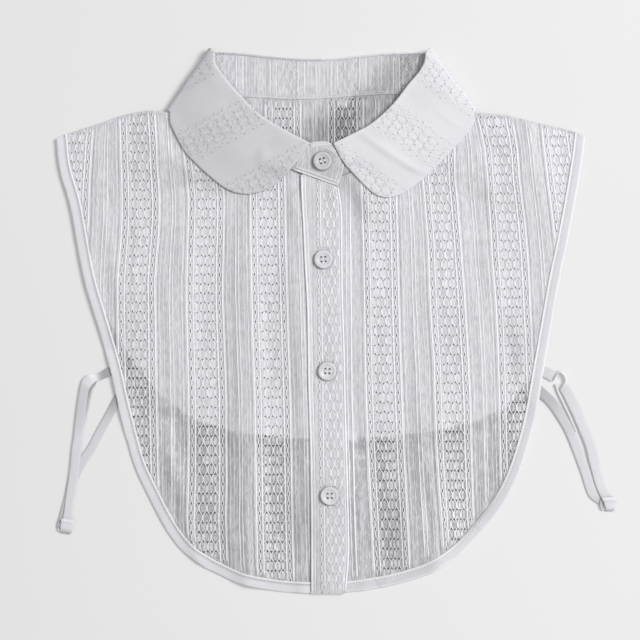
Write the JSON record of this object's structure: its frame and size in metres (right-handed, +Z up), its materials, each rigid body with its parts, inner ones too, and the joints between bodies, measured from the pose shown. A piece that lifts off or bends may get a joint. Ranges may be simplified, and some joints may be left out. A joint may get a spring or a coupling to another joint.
{
  "type": "detachable collar",
  "caption": "Detachable cotton collar with round-tipped fall, buttoned stand and placket, short bound front and back, and side straps, laid flat.",
  "frame": {"origin": "on the surface that the garment lies on, in the middle of its outline seen from above", "axes": "+Z up from the surface, out of the garment's front; +Y from the hem towards the back of the neck; +X towards the wearer's left"},
  "size_m": [0.3416, 0.3318, 0.0089],
  "materials": {
    "openwork_cotton": "white woven cotton with vertical bands of oval openwork between corded and ribbed stripes, slightly sheer, matt",
    "collar_cotton": "the same white cotton, double and interfaced, its stripes only embossed, matt",
    "binding_tape": "plain white cotton bias tape with a double row of stitches along its inner edge",
    "strap_tape": "narrow white woven tape, smooth, matt",
    "button_plastic": "white shirt button with a raised rim and four holes, soft gloss"
  },
  "bodies": {
    "root": {"front_over": "openwork_cotton", "front_under": "openwork_cotton", "back_panel": "openwork_cotton", "placket": "openwork_cotton", "collar_stand": "collar_cotton", "collar_fall": "collar_cotton", "binding_front_over": "binding_tape", "binding_front_under": "binding_tape", "binding_back": "binding_tape", "strap_over_side": "strap_tape", "strap_under_side": "strap_tape", "button_stand": "button_plastic", "button_1": "button_plastic", "button_2": "button_plastic", "button_3": "button_plastic"}
  },
  "joints": []
}
